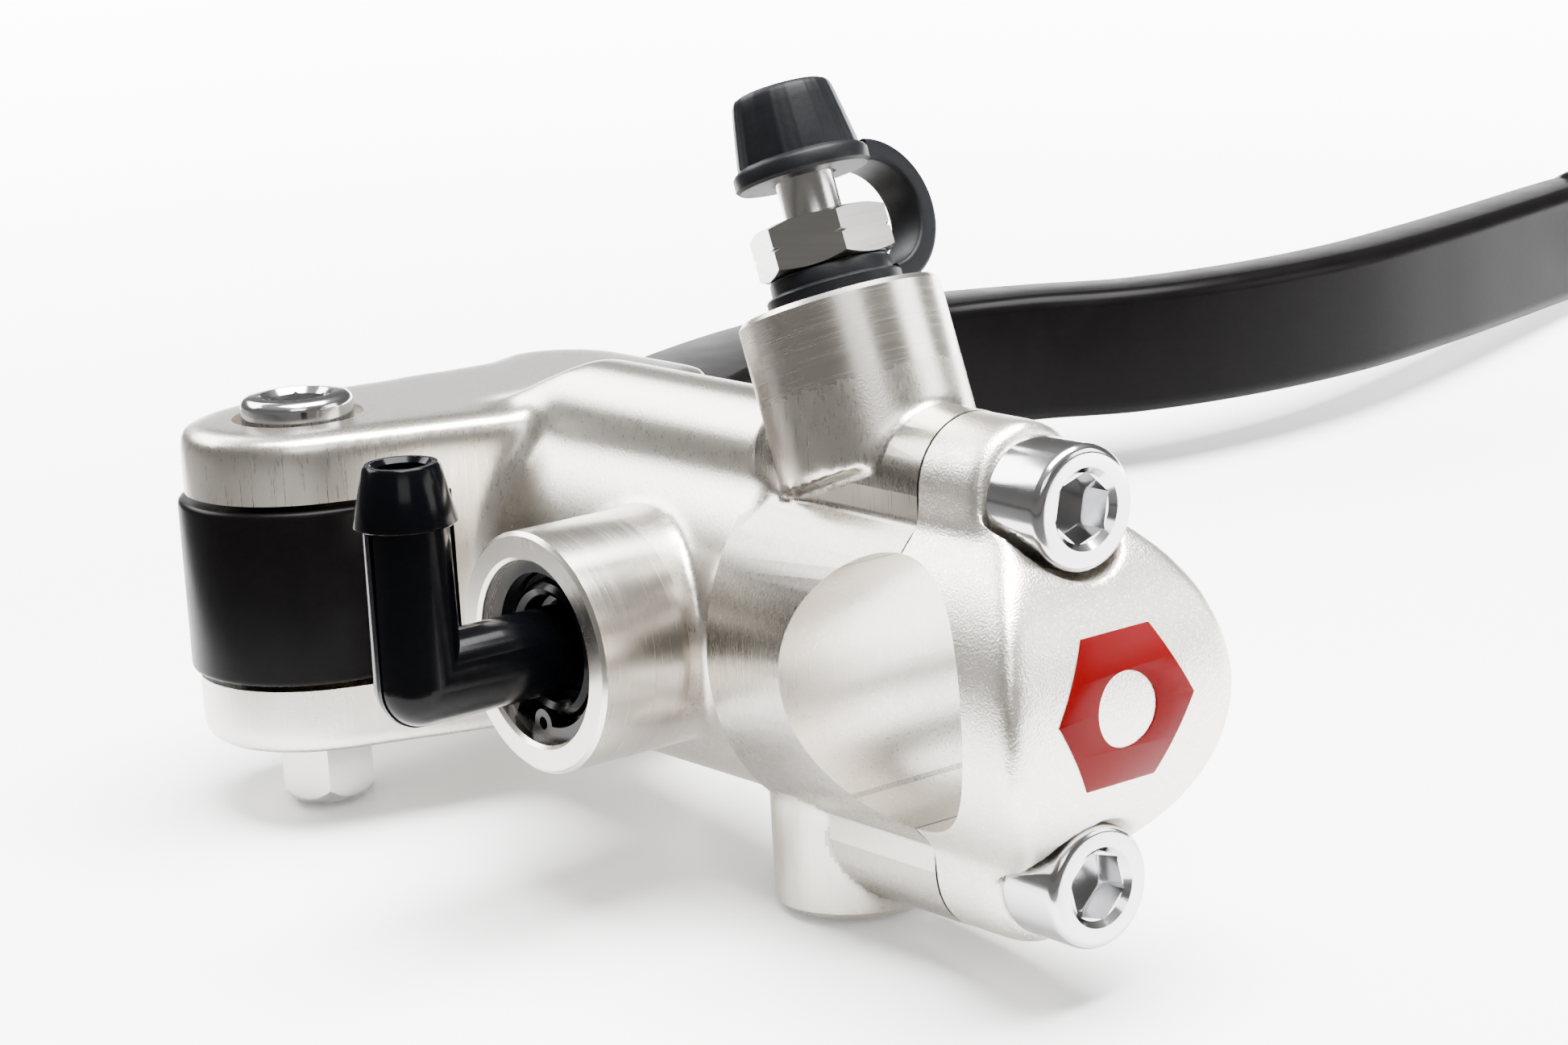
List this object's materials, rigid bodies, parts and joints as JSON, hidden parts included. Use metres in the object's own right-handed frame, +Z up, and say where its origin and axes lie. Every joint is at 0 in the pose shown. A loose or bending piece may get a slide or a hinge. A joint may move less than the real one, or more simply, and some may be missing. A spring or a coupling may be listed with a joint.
{
  "type": "brake master cylinder",
  "caption": "Radial front brake master cylinder with handlebar clamp, side inlet elbow, bleed nipple on top, outlet port below and a long lever.",
  "frame": {"origin": "centre of the handlebar clamp bore", "axes": "+X outboard along the handlebar, +Y forward from the bar to the lever pivot, +Z up along the pivot bolt"},
  "size_m": [0.2301, 0.1222, 0.0686],
  "materials": {
    "nickel_body": "satin nickel plate over machined and bead-blasted aluminium",
    "polished_steel": "polished stainless",
    "turned_steel": "turned stainless",
    "red_enamel": "gloss enamel",
    "black_lever": "satin black anodised",
    "black_plastic": "gloss moulded",
    "black_rubber": "moulded rubber",
    "black_steel": "phosphated spring steel",
    "hard_alloy": "hard anodised",
    "bronze": "sintered bronze"
  },
  "bodies": {
    "root": {"master_body": "nickel_body", "clamp_cap": "nickel_body", "clamp_screws": "polished_steel", "cap_inlay": "red_enamel", "return_spring": "turned_steel", "stop_washer": "turned_steel", "piston_circlip": "black_steel", "dust_boot": "black_rubber", "inlet_circlip": "black_steel", "tether_ring": "black_rubber", "tether_strap": "black_rubber", "pivot_bolt": "polished_steel", "pivot_nut": "turned_steel", "pivot_shims": "bronze"},
    "piston": {"piston": "hard_alloy", "primary_cup": "black_rubber", "secondary_cup": "black_rubber", "spring_seat": "hard_alloy"},
    "lever": {"lever": "black_lever", "pivot_bush": "bronze"},
    "pushrod": {"barrel_nut": "turned_steel", "pushrod": "turned_steel"},
    "knob": {"adjuster_knob": "black_lever"},
    "elbow": {"inlet_elbow": "black_plastic", "inlet_oring": "black_rubber"},
    "nipple": {"bleed_nipple": "turned_steel"},
    "dust_cap": {"dust_cap": "black_rubber"}
  },
  "joints": [
    {"name": "lever_pivot", "type": "hinge", "parent": "root", "child": "lever", "pos_m": [-0.02, 0.0682, 0.0015], "axis": [0, 0, -1], "range_deg": [0, 17], "stiffness_Nm_per_rad": 0.6, "springref_deg": -22.92},
    {"name": "piston_slide", "type": "slide", "parent": "root", "child": "piston", "axis": [0, -1, 0], "range_m": [0, 0.006], "deforming": ["return_spring", "dust_boot"]},
    {"name": "pushrod_swing", "type": "hinge", "parent": "lever", "child": "pushrod", "pos_m": [-0.00022, 0.07116, 0.0015], "axis": [0, 0, 1], "range_deg": [0, 17.2]},
    {"name": "knob_turn", "type": "hinge", "parent": "pushrod", "child": "knob", "pos_m": [-0.00022, 0.085, 0.0015], "axis": [0, 1, 0], "continuous": true},
    {"name": "elbow_swivel", "type": "hinge", "parent": "root", "child": "elbow", "pos_m": [-0.02, 0.0322, 0.0003], "axis": [-1, 0, 0], "continuous": true},
    {"name": "nipple_turn", "type": "hinge", "parent": "root", "child": "nipple", "pos_m": [0, 0.0158, 0.0282], "axis": [0, 0.342, 0.9397], "range_deg": [0, 270]},
    {"name": "cap_pull", "type": "slide", "parent": "root", "child": "dust_cap", "axis": [0, 0.342, 0.9397], "range_m": [0, 0.008], "deforming": ["tether_strap"]}
  ],
  "couplings": [
    {"joint": "piston_slide", "follows": "lever_pivot", "m_per_rad": 0.01993},
    {"joint": "pushrod_swing", "follows": "lever_pivot", "ratio": 1}
  ]
}
